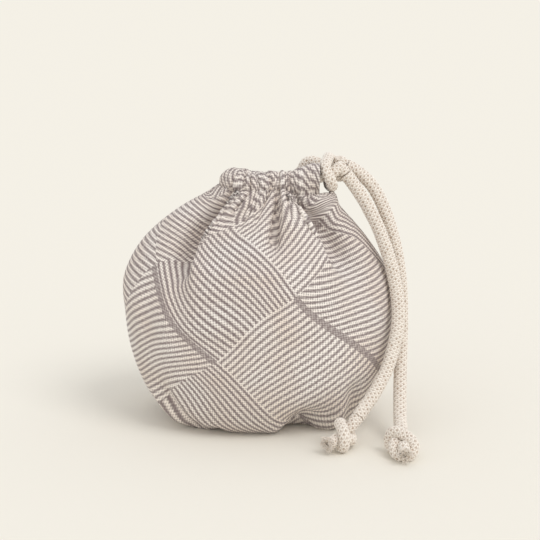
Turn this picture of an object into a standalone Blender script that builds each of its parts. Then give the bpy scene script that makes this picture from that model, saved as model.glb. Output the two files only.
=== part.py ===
"""Drawstring gift pouch: two sewn panels with hem channels, and a knotted round cord.

Metres, +Z up. The pouch stands on z = 0 with its side seams in the plane y = 0,
its front towards -Y, and its cord leaving the mouth towards +X.
"""
import math

import bmesh
import bpy
import numpy as np

MM = 0.001

# The filled pouch, measured over its cloth
BODY_WIDTH = 117 * MM
BODY_DEPTH = 85 * MM
NECK_HEIGHT = 103.5 * MM
CLOTH = 1.1 * MM
SEAM_GAP = 0.3 * MM
SEAM_ALLOWANCE = 6 * MM

# The round knitted cord, and the air left round it in its channel
CORD_DIAMETER = 6 * MM
CHANNEL_CLEARANCE = 0.7 * MM
CORD_GAP = 0.46 * MM
END_GAP = 0.3 * MM

# The gathered mouth, measured along the middle of the cord in its hem
MOUTH_BACK_HALF = 8.2 * MM
MOUTH_EXIT_HALF = 5.0 * MM
MOUTH_TURN_X = -3.0 * MM
MOUTH_STRAIGHT_X = 7.0 * MM
FRONT_EXIT_X = 26.0 * MM
EXIT_LEAD = 0.6 * MM
EXIT_DROP = 2.0 * MM
RUFFLE = 1.8 * MM
FOLD_DEPTH = 8 * MM

# Step across and up a panel, as a share of it, that finds the way its cloth faces
FACING_STEP_SHARE = 0.004

# How far the knot can be drawn away from the hem
PULL_TRAVEL = 12 * MM
TRAVEL_SPARE = 0.8 * MM

# Counts of the cloth's grid
COLUMNS = 36
BODY_ROWS = 20
HEM_ROWS = 8
PLEATS = 5
BACK_HEM_COLUMNS = 27
FLAP_ROWS = 19

# Seams and middle lines of the cloth, bottom to top, at evenly counted stations.
# Each pair is the reach sideways as a share of half the width or depth, and the
# height as a share of the neck's. The last station is the hem's, so it isn't listed.
LEFT_SEAM_SHARES = (
    (0.63, 0.034), (0.76, 0.117), (0.90, 0.234), (0.975, 0.361), (1.00, 0.488),
    (1.00, 0.62), (0.86, 0.766), (0.60, 0.893),
)
RIGHT_SEAM_SHARES = (
    (0.66, 0.029), (0.80, 0.098), (0.925, 0.215), (0.985, 0.351), (1.00, 0.478),
    (0.96, 0.625), (0.80, 0.771), (0.60, 0.898),
)
FRONT_MIDDLE_SHARES = (
    (0.0, 0.012), (0.30, -0.012), (0.56, -0.012), (0.83, 0.063), (0.96, 0.195),
    (1.00, 0.371), (0.92, 0.566), (0.70, 0.781),
)
BACK_MIDDLE_SHARES = (
    (0.0, 0.012), (0.30, -0.012), (0.56, -0.012), (0.84, 0.068), (0.97, 0.205),
    (1.00, 0.381), (0.91, 0.576), (0.68, 0.791),
)

# Main folds of the gathered cloth. Each row is at one of the levels, a share of the way
# up, and gives how far the cloth stands out as a share of the fold depth, at the places
# given as shares of the way across. Between the two deep creases the cloth stands proud.
FOLD_LEVEL_SHARES = (0.66, 0.75, 0.80, 0.85, 0.90, 0.95, 1.0)
FRONT_FOLD_PLACE_SHARES = (
    0.0, 0.08, 0.16, 0.225, 0.26, 0.30, 0.44, 0.51, 0.57, 0.63, 0.71, 0.75, 0.83, 0.91, 1.0,
)
FRONT_FOLD_SHARES = (
    (0, 0, 0, 0, 0, 0, 0, 0, 0, 0, 0, 0, 0, 0, 0),
    (0, 0, -0.08, -0.25, -0.15, 0.15, 0.25, 0.25, 0.25, 0.25, 0.15, -0.12, -0.15, 0, 0),
    (0, 0, -0.2, -0.5, -0.35, 0.2, 0.25, 0.25, 0.25, 0.25, 0.15, -0.45, -0.4, -0.05, 0),
    (0, 0, -0.4, -0.85, -0.5, -0.1, -0.05, -0.1, -0.3, -0.15, -0.1, -0.95, -0.65, -0.1, 0),
    (0, -0.15, -0.65, -0.8, -0.25, -0.2, -0.25, -0.3, -0.75, -0.3, -0.1, -0.85, -0.6, -0.1, 0),
    (0, -0.15, -0.1, 0.15, 0.4, 0.2, 0.1, 0.0, 0.1, 0.35, 0.4, -0.1, -0.2, -0.1, 0),
    (0, 0, 0, 0, 0, 0, 0, 0, 0, 0, 0, 0, 0, 0, 0),
)
BACK_FOLD_PLACE_SHARES = (
    0.0, 0.10, 0.20, 0.29, 0.33, 0.38, 0.45, 0.50, 0.60, 0.66, 0.70, 0.74, 0.83, 0.91, 1.0,
)
BACK_FOLD_SHARES = (
    (0, 0, 0, 0, 0, 0, 0, 0, 0, 0, 0, 0, 0, 0, 0),
    (0, 0, 0, -0.22, -0.28, -0.1, 0.12, 0.12, 0.12, 0, -0.25, -0.2, 0, 0, 0),
    (0, 0, 0, -0.4, -0.5, 0, 0.25, 0.25, 0.25, 0, -0.5, -0.45, -0.1, 0, 0),
    (0, 0, -0.1, -0.6, -0.6, 0, -0.2, 0, 0.05, 0, -0.75, -0.65, -0.15, 0, 0),
    (0, -0.2, -0.15, -0.6, -0.1, 0, -0.45, -0.1, 0, 0, -0.65, -0.6, -0.25, -0.1, 0),
    (0, -0.2, -0.2, 0, 0.5, 0.4, 0.2, 0.25, 0.3, 0.5, 0.1, -0.15, -0.2, -0.15, 0),
    (0, 0, 0, 0, 0, 0, 0, 0, 0, 0, 0, 0, 0, 0, 0),
)
ROUNDNESS_SHARE = 0.9
HEM_BLEND_SHARE = 0.86

# Angles round the channel, from where the panel meets it to the hem's turned edge. Past
# the closing share across the panel the start goes further under, down to its exit angle.
HEM_START = math.radians(-20)
HEM_START_AT_EXIT = math.radians(-75)
HEM_END = math.radians(262)
HEM_CLOSING_SHARE = 0.72

# The knot at the mouth: its middle, and the size of the loose knot it is drawn from
KNOT_MIDDLE = (31.6 * MM, 1.0 * MM, 109.4 * MM)
KNOT_LOOSE_LENGTH = 0.9 * MM
KNOT_LOOSE_LOOP = 3.7 * MM
KNOT_ROUNDS = 500
KNOT_SQUEEZE_SHARE = 0.74
KNOT_SQUEEZE_REACH = 11 * MM
KNOT_STEP = 1.9 * MM

# How a loose knot is laid, and how its lines are then pulled and pushed as it draws up
LOOSE_POINTS = 60
LOOSE_REACH = 2.0
LOOSE_LIFT = 1.7
PULL_SHARE = 0.3
PUSHES_A_ROUND = 6
SAME_STRETCH_SHARE = 1.45

# The stopper knots that end the tails
STOPPER_SQUEEZE_SHARE = 0.6
STOPPER_GAP = 0.65 * MM
STOPPER_LOOSE_LENGTH = 0.62 * MM
STOPPER_LOOSE_LOOP = 3.0 * MM
STOPPER_ROUNDS = 900
STOPPER_LEAD = 12.5 * MM
STOPPER_END = 7 * MM
STOPPER_HEIGHT = 5 * MM
STOPPER_SQUEEZE_REACH = 6 * MM
LEAD_POINTS = 4

# Cord routes, chosen by hand from the mouth outwards
BACK_STRAND_RISE = (
    (17.4 * MM, 8.6 * MM, 105.9 * MM), (19.2 * MM, 8.9 * MM, 108.6 * MM),
    (20.6 * MM, 8.6 * MM, 111.6 * MM), (23.0 * MM, 7.6 * MM, 112.9 * MM),
    (26.0 * MM, 6.0 * MM, 112.2 * MM),
)
UPPER_TAIL = (
    (38.4 * MM, 4.6 * MM, 111.4 * MM), (43.8 * MM, 4.0 * MM, 108.2 * MM),
    (49.0 * MM, 2.8 * MM, 103.2 * MM), (53.6 * MM, 1.0 * MM, 95.4 * MM),
    (57.4 * MM, -1.2 * MM, 85.0 * MM), (60.4 * MM, -3.4 * MM, 73.0 * MM),
    (62.1 * MM, -6.0 * MM, 59.5 * MM), (62.4 * MM, -10.0 * MM, 45.5 * MM),
    (61.8 * MM, -15.6 * MM, 33.5 * MM), (61.0 * MM, -22.8 * MM, 22.8 * MM),
    (60.4 * MM, -30.0 * MM, 13.8 * MM), (60.0 * MM, -36.0 * MM, 9.2 * MM),
    (59.9 * MM, -40.4 * MM, 7.0 * MM), (59.8 * MM, -44.4 * MM, 6.0 * MM),
)
LOWER_TAIL = (
    (37.6 * MM, -1.8 * MM, 108.6 * MM), (41.2 * MM, -2.0 * MM, 103.8 * MM),
    (44.8 * MM, -2.8 * MM, 98.6 * MM), (48.2 * MM, -4.2 * MM, 92.6 * MM),
    (52.3 * MM, -6.7 * MM, 84.4 * MM), (57.4 * MM, -10.6 * MM, 69.4 * MM),
    (60.0 * MM, -14.8 * MM, 54.4 * MM), (59.4 * MM, -20.0 * MM, 43.0 * MM),
    (55.3 * MM, -26.5 * MM, 29.8 * MM), (52.1 * MM, -30.0 * MM, 24.3 * MM),
    (48.5 * MM, -34.0 * MM, 19.0 * MM), (44.9 * MM, -37.5 * MM, 15.3 * MM),
    (41.8 * MM, -40.5 * MM, 11.9 * MM),
)
CORD_SIDES_RESOLUTION = 2
POINTS_A_STRETCH = 12
CHANNEL_COLUMNS = 60
TAIL_STEP = 9 * MM
LOOP_STEP = 3 * MM

# Sizes worked out from the ones above
HALF_WIDTH = BODY_WIDTH / 2
HALF_DEPTH = BODY_DEPTH / 2
CHANNEL_RADIUS = CORD_DIAMETER / 2 + CHANNEL_CLEARANCE + CLOTH
HEM_HEIGHT = NECK_HEIGHT - CHANNEL_RADIUS * math.sin(HEM_START)
HALF_GAP = SEAM_GAP / 2
HIDDEN_STRAND = PULL_TRAVEL + TRAVEL_SPARE
STOPPER_DIAMETER = CORD_DIAMETER * STOPPER_SQUEEZE_SHARE

# Colours, as shares of full light in red, green and blue, and how matt each material is
CLOTH_COLOUR = (0.55, 0.49, 0.47)
CLOTH_ROUGHNESS = 0.9
CORD_COLOUR = (0.83, 0.76, 0.66)
CORD_ROUGHNESS = 0.95


def new_material(name, colour, roughness):
    material = bpy.data.materials.new(name)
    material.use_nodes = True
    shader = material.node_tree.nodes["Principled BSDF"]
    shader.inputs["Base Color"].default_value = (*colour, 1)
    shader.inputs["Roughness"].default_value = roughness
    shader.inputs["Metallic"].default_value = 0
    return material


def smooth(x):
    x = min(1, max(0, x))
    return x * x * (3 - 2 * x)


def through(points, place):
    """The point at place, from 0 to 1, on the smooth curve through points."""
    last = len(points) - 1
    k = min(int(place * last), last - 1)
    u = place * last - k
    a, b = np.array(points[max(k - 1, 0)]), np.array(points[k])
    c, d = np.array(points[k + 1]), np.array(points[min(k + 2, last)])
    return (
        b + 0.5 * u * (c - a)
        + u * u * (a - 2.5 * b + 2 * c - 0.5 * d)
        + u * u * u * (1.5 * (b - c) + 0.5 * (d - a))
    )


def spaced(points, step):
    """The same line with its points evenly spaced, about a step apart."""
    points = np.array(points)
    arc = np.concatenate([[0], np.cumsum(np.linalg.norm(np.diff(points, axis=0), axis=1))])
    count = max(2, round(arc[-1] / step)) + 1
    at = np.linspace(0, arc[-1], count)
    return np.stack([np.interp(at, arc, points[:, k]) for k in range(3)], axis=1)


def smooth_line(points, step):
    """A smooth line through the chosen points, evenly spaced."""
    fine = POINTS_A_STRETCH * len(points)
    return spaced([through(points, k / fine) for k in range(fine + 1)], step)


def channel_point(side, u):
    """Middle of the channel and its outward direction in plan, at u from left to right.

    side is -1 for the front half of the mouth and 1 for the back half.
    """
    exit_half = MOUTH_EXIT_HALF if side < 0 else MOUTH_BACK_HALF
    turn_length = MOUTH_BACK_HALF * math.pi / 2
    ease_length = MOUTH_STRAIGHT_X - MOUTH_TURN_X
    straight_length = FRONT_EXIT_X - MOUTH_STRAIGHT_X
    gone = u * (turn_length + ease_length + straight_length)
    if gone < turn_length:
        angle = gone / MOUTH_BACK_HALF
        out_x, out_y = -math.cos(angle), side * math.sin(angle)
        x = MOUTH_TURN_X + MOUTH_BACK_HALF * out_x
        y = MOUTH_BACK_HALF * out_y
    else:
        share = min(1, (gone - turn_length) / ease_length)
        slope = (exit_half - MOUTH_BACK_HALF) / ease_length * 6 * share * (1 - share)
        size = math.hypot(1, slope)
        out_x, out_y = -slope / size, side / size
        x = MOUTH_TURN_X + gone - turn_length
        y = side * (MOUTH_BACK_HALF + (exit_half - MOUTH_BACK_HALF) * smooth(share))
    return (x, y + side * HALF_GAP), (out_x, out_y)


def past_exit(side, s):
    """How far s is past the place where the back hem lets the cord out, from 0 to 1."""
    exit_share = BACK_HEM_COLUMNS / COLUMNS
    return smooth((s - exit_share) / (1 - exit_share)) if side > 0 else 0


def back_exit_x():
    """Where the back hem stops short of the side seam and lets the cord out."""
    return channel_point(1, BACK_HEM_COLUMNS / COLUMNS)[0][0]


def ruffle(s):
    """How far the gathered cloth stands off the cord, from 0 in a pinch to 1."""
    return 0.5 - 0.5 * math.cos(2 * math.pi * PLEATS * s)


def hem_start(s):
    """The angle round the channel where the panel meets it, further under where the cord leaves."""
    closing = smooth((s - HEM_CLOSING_SHARE) / (1 - HEM_CLOSING_SHARE))
    return HEM_START + (HEM_START_AT_EXIT - HEM_START) * closing


def hem_point(side, s, angle):
    """A point on the outside of the channel of cloth round the cord."""
    (x, y), (out_x, out_y) = channel_point(side, s)
    fullness = ruffle(s) * smooth((math.pi - angle) / (math.pi / 2))
    radius = CHANNEL_RADIUS + RUFFLE * fullness
    reach = radius * math.cos(angle)
    drawn_in = past_exit(side, s)
    height = HEM_HEIGHT + radius * math.sin(angle) - EXIT_DROP * drawn_in
    return np.array([x + reach * out_x, y + reach * out_y - MOUTH_EXIT_HALF * drawn_in, height])


def plain_point(side, s, t):
    """A point on a panel without its folds."""
    middle_shares = FRONT_MIDDLE_SHARES if side < 0 else BACK_MIDDLE_SHARES
    ends = [hem_point(side, share, hem_start(share)) for share in (0, 0.5, 1)]
    left = [(-a * HALF_WIDTH, b * NECK_HEIGHT) for a, b in LEFT_SEAM_SHARES]
    right = [(a * HALF_WIDTH, b * NECK_HEIGHT) for a, b in RIGHT_SEAM_SHARES]
    middle = [(a * HALF_DEPTH, b * NECK_HEIGHT) for a, b in middle_shares]
    left_x, left_z = through(left + [(ends[0][0], ends[0][2])], t)
    right_x, right_z = through(right + [(ends[2][0], ends[2][2])], t)
    depth, middle_z = through(middle + [(abs(ends[1][1]), ends[1][2])], t)
    turn = math.pi * s
    across = 0.5 - 0.5 * math.cos(turn)
    round_out = math.sin(turn) ** ROUNDNESS_SHARE if 0 < s < 1 else 0
    x = left_x + (right_x - left_x) * across
    y = side * (HALF_GAP + max(0, depth) * round_out)
    side_z = left_z + (right_z - left_z) * across
    z = side_z + (middle_z - side_z) * smooth(math.sin(turn))
    plain_end = np.array([
        ends[0][0] + (ends[2][0] - ends[0][0]) * across,
        side * (HALF_GAP + abs(ends[1][1]) * round_out),
        ends[0][2],
    ])
    blend = smooth((t - HEM_BLEND_SHARE) / (1 - HEM_BLEND_SHARE))
    return np.array([x, y, max(0, z)]) + (hem_point(side, s, hem_start(s)) - plain_end) * blend


def fold_height(side, s, t):
    """How far the folds make the cloth stand out, or lie in where it is below 0."""
    places = FRONT_FOLD_PLACE_SHARES if side < 0 else BACK_FOLD_PLACE_SHARES
    rows = FRONT_FOLD_SHARES if side < 0 else BACK_FOLD_SHARES
    levels = [np.interp(s, places, row) for row in rows]
    return FOLD_DEPTH * np.interp(t, FOLD_LEVEL_SHARES, levels)


def body_point(side, s, t):
    """A point on the outside of a panel: s from left seam to right, t from bottom to hem."""
    place = plain_point(side, s, t)
    height = fold_height(side, s, t)
    if not height:
        return place
    step = FACING_STEP_SHARE
    across = plain_point(side, s + step, t) - plain_point(side, s - step, t)
    up = plain_point(side, s, t + step) - plain_point(side, s, t - step)
    outward = np.cross(across, up) * -side
    return place + outward / np.linalg.norm(outward) * height


def make_panel(name, side, hem_columns, collection, material):
    """One panel of cloth: its bellied body, its hem round the cord, its seam allowances."""
    rows = BODY_ROWS + HEM_ROWS
    mesh = bmesh.new()
    grid = []
    for r in range(rows + 1):
        line = []
        for c in range(COLUMNS + 1):
            s = c / COLUMNS
            if r <= BODY_ROWS:
                place = body_point(side, s, r / BODY_ROWS)
            else:
                start = hem_start(s)
                angle = start + (HEM_END - start) * (r - BODY_ROWS) / HEM_ROWS
                place = hem_point(side, s, angle)
            line.append(mesh.verts.new(place))
        grid.append(line)
    for r in range(rows):
        for c in range(COLUMNS if r < BODY_ROWS else hem_columns):
            corners = (grid[r][c], grid[r][c + 1], grid[r + 1][c + 1], grid[r + 1][c])
            mesh.faces.new(corners if side < 0 else corners[::-1])
    seam = [grid[r][0] for r in range(FLAP_ROWS, 0, -1)] + grid[0]
    seam += [grid[r][COLUMNS] for r in range(1, FLAP_ROWS + 1)]
    edges = [mesh.edges.get((a, b)) for a, b in zip(seam, seam[1:])]
    flap = bmesh.ops.extrude_edge_only(mesh, edges=edges)["geom"]
    for vert in (item for item in flap if isinstance(item, bmesh.types.BMVert)):
        inward = np.array([0, 0, NECK_HEIGHT / 2]) - np.array([vert.co.x, 0, vert.co.z])
        inward *= SEAM_ALLOWANCE / np.linalg.norm(inward)
        vert.co.x += inward[0]
        vert.co.z += inward[2]
    bmesh.ops.delete(mesh, geom=[v for v in mesh.verts if not v.link_faces], context="VERTS")
    data = bpy.data.meshes.new(name)
    mesh.to_mesh(data)
    mesh.free()
    data.shade_smooth()
    data.materials.append(material)
    panel = bpy.data.objects.new(name, data)
    collection.objects.link(panel)
    wall = panel.modifiers.new("cloth", "SOLIDIFY")
    wall.thickness = CLOTH
    wall.offset = -1
    wall.use_even_offset = True
    return panel


def loose_overhand(middle, length, loop, ahead, aside, above):
    """An overhand knot before it is drawn up, as a line through space."""
    line = []
    for t in np.linspace(-LOOSE_REACH, LOOSE_REACH, LOOSE_POINTS):
        along = t ** 5 - 10 * t
        across = t ** 3 - 3 * t
        up = t ** 4 - 4 * t ** 2 + LOOSE_LIFT
        line.append(middle + ahead * along * length + aside * across * loop + above * up * loop)
    return line


def drawn_up(strands, pinned, gap, lowest, rounds):
    """Shorten lines that can't pass through each other until their knot is tight.

    pinned gives, for each strand, how many points stay at its start and its end.
    Nothing sinks below the lowest height.
    """
    for _ in range(rounds):
        for k, line in enumerate(strands):
            first, last = pinned[k][0], len(line) - pinned[k][1]
            pull = 0.5 * (line[first - 1:last - 1] + line[first + 1:last + 1]) - line[first:last]
            line[first:last] += PULL_SHARE * pull
        every = np.concatenate(strands)
        owner = np.repeat(np.arange(len(strands)), [len(line) for line in strands])
        order = np.concatenate([np.arange(len(line)) for line in strands])
        apart_along = abs(order[:, None] - order) * KNOT_STEP
        close = (owner[:, None] == owner) & (apart_along < SAME_STRETCH_SHARE * gap)
        for _ in range(PUSHES_A_ROUND):
            apart = every[:, None] - every
            far = np.linalg.norm(apart, axis=2) + np.eye(len(every)) * gap
            short = np.where(close, 0, np.maximum(0, gap - far))
            push = (apart / far[..., None] * short[..., None] * 0.5).sum(axis=1)
            every += push / np.sqrt(np.maximum(1, (short > 0).sum(axis=1)))[:, None]
            every[:, 2] = np.maximum(every[:, 2], lowest)
        start = 0
        for k, line in enumerate(strands):
            moved = every[start:start + len(line)]
            start += len(line)
            first, last = pinned[k][0], len(line) - pinned[k][1]
            free = np.concatenate([line[first - 1:first], moved[first:last], line[last:last + 1]])
            free = spaced(free, KNOT_STEP)
            strands[k] = np.concatenate([line[:first - 1], free, line[last + 1:]])
    return strands


def least_gap(strands, gap):
    """The nearest that the middles of two stretches of cord come."""
    every = np.concatenate(strands)
    owner = np.repeat(np.arange(len(strands)), [len(line) for line in strands])
    order = np.concatenate([np.arange(len(line)) for line in strands])
    apart_along = abs(order[:, None] - order) * KNOT_STEP
    close = (owner[:, None] == owner) & (apart_along < SAME_STRETCH_SHARE * gap)
    far = np.linalg.norm(every[:, None] - every, axis=2)
    return far[~close].min()


def make_tube(name, points, diameter, shares, collection, material):
    """A round cord along points; shares thins it where a knot squeezes it."""
    curve = bpy.data.curves.new(name, "CURVE")
    curve.dimensions = "3D"
    curve.bevel_depth = diameter / 2
    curve.bevel_resolution = CORD_SIDES_RESOLUTION
    curve.use_fill_caps = True
    spline = curve.splines.new("POLY")
    spline.points.add(len(points) - 1)
    for point, place, share in zip(spline.points, points, shares):
        point.co = (*place, 1)
        point.radius = share
    curve.materials.append(material)
    tube = bpy.data.objects.new(name, curve)
    collection.objects.link(tube)
    return tube


def drawstring_loop():
    """The middle of the cord where it lies in the hems, from one exit round to the other."""
    front = [channel_point(-1, u)[0] for u in np.linspace(1, 0, CHANNEL_COLUMNS)]
    back = [channel_point(1, u)[0] for u in np.linspace(0, 1, CHANNEL_COLUMNS)]
    front_end = FRONT_EXIT_X - HIDDEN_STRAND - END_GAP
    back_end = back_exit_x() - HIDDEN_STRAND - END_GAP
    front = [(front_end, front[0][1])] + [p for p in front if p[0] < front_end]
    back = [p for p in back if p[0] < back_end] + [(back_end, back[-1][1])]
    return spaced([(x, y, HEM_HEIGHT) for x, y in front + back], LOOP_STEP)


def knot_lines(upper_tail, lower_tail):
    """Both strands from inside the hems, through the knot, to where their tails start."""
    front_y = channel_point(-1, 1)[0][1]
    back_y = channel_point(1, 1)[0][1]
    middle = np.array(KNOT_MIDDLE)
    ahead, aside, above = np.array([1, 0, 0]), np.array([0, 1, 0]), np.array([0, 0, 1])
    front_lead = spaced([(FRONT_EXIT_X - HIDDEN_STRAND, front_y, HEM_HEIGHT),
                         (FRONT_EXIT_X + EXIT_LEAD, front_y, HEM_HEIGHT)], KNOT_STEP)
    back_lead = spaced([(back_exit_x() - HIDDEN_STRAND, back_y, HEM_HEIGHT),
                        (back_exit_x(), back_y, HEM_HEIGHT)], KNOT_STEP)
    rise = smooth_line([tuple(back_lead[-1]), *BACK_STRAND_RISE], KNOT_STEP)[1:]
    back_lead = np.concatenate([back_lead, rise])
    loose = loose_overhand(middle, KNOT_LOOSE_LENGTH, KNOT_LOOSE_LOOP, ahead, aside, above)
    front_out, back_out = tail_start(lower_tail), tail_start(upper_tail)
    front = [front_lead, spaced([front_lead[-1], middle, front_out[0]], KNOT_STEP)[1:-1], front_out]
    back = [back_lead, spaced([back_lead[-1], *loose, back_out[0]], KNOT_STEP)[1:-1], back_out]
    gap = CORD_DIAMETER * KNOT_SQUEEZE_SHARE + CORD_GAP
    lines = [np.concatenate(front), np.concatenate(back)]
    pinned = [(len(front_lead), len(front_out)), (len(back_lead), len(back_out))]
    lines = drawn_up(lines, pinned, gap, 0, KNOT_ROUNDS)
    air = least_gap(lines, gap) - CORD_DIAMETER * KNOT_SQUEEZE_SHARE
    print("least gap in the mouth knot, mm", round(air / MM, 2))
    return lines


def tail_start(tail):
    """Short straight stretch that leads out of the knot into a tail."""
    start, ahead = tail[0], tail[1] - tail[0]
    ahead /= np.linalg.norm(ahead)
    return np.array([start - ahead * (END_GAP + k * KNOT_STEP) for k in (2, 1, 0)])


def stopper_line(tail):
    """The stopper knot that ends a tail, and its middle, on the surface the pouch stands on."""
    start, ahead = tail[-1], tail[-1] - tail[-2]
    ahead /= np.linalg.norm(ahead)
    middle = start + ahead * STOPPER_LEAD
    middle[2] = STOPPER_HEIGHT
    level = np.array([ahead[0], ahead[1], 0]) / math.hypot(ahead[0], ahead[1])
    above = np.array([0, 0, 1])
    aside = np.cross(above, level)
    loose = loose_overhand(middle, STOPPER_LOOSE_LENGTH, STOPPER_LOOSE_LOOP, level, aside, above)
    lead = np.array([start + ahead * (END_GAP + k * KNOT_STEP) for k in range(LEAD_POINTS)])
    out = np.array([middle + level * (STOPPER_END - k * KNOT_STEP) for k in (1, 0)])
    line = np.concatenate([lead, spaced([lead[-1], *loose, out[0]], KNOT_STEP)[1:-1], out])
    pinned = [(len(lead), len(out))]
    gap = STOPPER_DIAMETER + STOPPER_GAP
    line = drawn_up([line], pinned, gap, STOPPER_DIAMETER / 2, STOPPER_ROUNDS)[0]
    air = least_gap([line], gap) - STOPPER_DIAMETER
    print("least gap in a stopper knot, mm", round(air / MM, 2))
    return line, middle


def squeeze_shares(line, middle, reach, least):
    """Cord thickness along a line, as shares of its diameter: thinner near a knot's middle."""
    far = np.linalg.norm(line - np.array(middle), axis=1)
    return [least + (1 - least) * smooth((f - reach) / CORD_DIAMETER) for f in far]


def main():
    for thing in list(bpy.data.objects):
        bpy.data.objects.remove(thing, do_unlink=True)
    pouch = bpy.data.collections.new("gift_pouch")
    bpy.context.scene.collection.children.link(pouch)
    cloth = new_material("woven_cotton", CLOTH_COLOUR, CLOTH_ROUGHNESS)
    cord = new_material("knitted_cotton_cord", CORD_COLOUR, CORD_ROUGHNESS)
    make_panel("front_panel", -1, COLUMNS, pouch, cloth)
    make_panel("back_panel", 1, BACK_HEM_COLUMNS, pouch, cloth)
    loop = drawstring_loop()
    make_tube("drawstring_loop", loop, CORD_DIAMETER, [1] * len(loop), pouch, cord)
    tails = {name: smooth_line(route, TAIL_STEP) for name, route in
             (("upper", UPPER_TAIL), ("lower", LOWER_TAIL))}
    front, back = knot_lines(tails["upper"], tails["lower"])
    for name, line in (("front_strand", front), ("back_strand", back)):
        shares = squeeze_shares(line, KNOT_MIDDLE, KNOT_SQUEEZE_REACH, KNOT_SQUEEZE_SHARE)
        make_tube(name, line, CORD_DIAMETER, shares, pouch, cord)
    for name, tail in tails.items():
        shares = squeeze_shares(tail, KNOT_MIDDLE, KNOT_SQUEEZE_REACH, KNOT_SQUEEZE_SHARE)
        make_tube(name + "_tail", tail, CORD_DIAMETER, shares, pouch, cord)
        knot, middle = stopper_line(tail)
        shares = squeeze_shares(knot, middle, STOPPER_SQUEEZE_REACH, STOPPER_SQUEEZE_SHARE)
        make_tube(name + "_stopper_knot", knot, CORD_DIAMETER, shares, pouch, cord)


main()
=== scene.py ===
"""The looks of a drawstring gift pouch: striped woven cloth gathered on a knitted cord.

Metres, +Z up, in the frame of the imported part. The pouch stands on z = 0 with its
front towards -Y, and its cord leaves the mouth towards +X.
"""

import math

import bmesh
import bpy
import numpy as np
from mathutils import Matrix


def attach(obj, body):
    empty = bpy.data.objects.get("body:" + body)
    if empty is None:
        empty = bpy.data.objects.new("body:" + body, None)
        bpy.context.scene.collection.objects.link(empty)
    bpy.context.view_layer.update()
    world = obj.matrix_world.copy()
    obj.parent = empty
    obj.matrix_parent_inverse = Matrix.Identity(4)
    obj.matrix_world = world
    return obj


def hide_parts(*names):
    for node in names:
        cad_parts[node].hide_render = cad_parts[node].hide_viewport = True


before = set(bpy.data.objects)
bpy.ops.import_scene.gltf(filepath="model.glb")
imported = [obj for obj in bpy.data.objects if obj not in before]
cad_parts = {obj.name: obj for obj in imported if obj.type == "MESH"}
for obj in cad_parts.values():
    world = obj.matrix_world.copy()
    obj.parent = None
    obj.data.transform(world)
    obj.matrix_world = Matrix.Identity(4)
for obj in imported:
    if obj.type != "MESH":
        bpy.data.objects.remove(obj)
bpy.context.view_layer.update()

MM = 0.001

# Sizes shared with the part
BODY_WIDTH = 117 * MM
BODY_DEPTH = 85 * MM
NECK_HEIGHT = 103.5 * MM
SEAM_HALF = 0.15 * MM
CORD_DIAMETER = 6 * MM
CHANNEL_RADIUS = 4.8 * MM
HEM_RADIUS = 4.3 * MM
MOUTH_BACK_HALF = 8.2 * MM
MOUTH_EXIT_HALF = 5.0 * MM
MOUTH_TURN_X = -3.0 * MM
MOUTH_STRAIGHT_X = 7.0 * MM
FRONT_EXIT_X = 26.0 * MM
EXIT_DROP = 2.0 * MM
EXIT_LEAD = 0.6 * MM
BACK_EXIT_SHARE = 0.75
HIDDEN_STRAND = 12.8 * MM
END_GAP = 0.3 * MM
HEM_START = math.radians(-20)
HEM_START_AT_EXIT = math.radians(-75)
HEM_END = math.radians(262)
HEM_CLOSING = 0.72
HEM_HEIGHT = NECK_HEIGHT - CHANNEL_RADIUS * math.sin(HEM_START)

# Seams and middle lines of the filled pouch, as the part has them
LEFT_SEAM = (
    (0.63, 0.034), (0.76, 0.117), (0.90, 0.234), (0.975, 0.361), (1.00, 0.488),
    (1.00, 0.62), (0.86, 0.766), (0.60, 0.893),
)
RIGHT_SEAM = (
    (0.66, 0.029), (0.80, 0.098), (0.925, 0.215), (0.985, 0.351), (1.00, 0.478),
    (0.96, 0.625), (0.80, 0.771), (0.60, 0.898),
)
FRONT_MIDDLE = (
    (0.0, 0.012), (0.30, -0.012), (0.56, -0.012), (0.83, 0.063), (0.96, 0.195),
    (1.00, 0.371), (0.92, 0.566), (0.70, 0.781),
)
BACK_MIDDLE = (
    (0.0, 0.012), (0.30, -0.012), (0.56, -0.012), (0.84, 0.068), (0.97, 0.205),
    (1.00, 0.381), (0.91, 0.576), (0.68, 0.791),
)
ROUNDNESS = 0.9
HEM_BLEND = 0.86

# The cloth's grid and thickness, and the width and height of its flat map up to the hem
COLUMNS = 280
BODY_ROWS = 146
HEM_ROWS = 28
CLOTH = 0.7 * MM
HALF_GIRTH = 176 * MM
FLAT_HEIGHT = 145 * MM

# Knitted cord
LOOP_RADIUS = 1.4 * MM
WALES = 12
STITCH = 2.2 * MM
KNIT_DEPTH = 0.6 * MM
RINGS_A_STITCH = 8
SIDES_A_WALE = 5
KNIT_EASE = 1.2 * MM
SEAM_MERGE = 0.01 * MM

# Yarn ends that stand out of the cut ends: how many, how thick, how far apart and how long
FIBRES = 80
FIBRE_RADIUS = 0.17 * MM
FIBRE_SPREAD = 2.4 * MM
FIBRE_SHORTEST = 1.2
FIBRE_LONGEST = 2.8
FIBRE_CURL = 0.5 * MM
FIBRE_SHADE = 0.62

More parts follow.
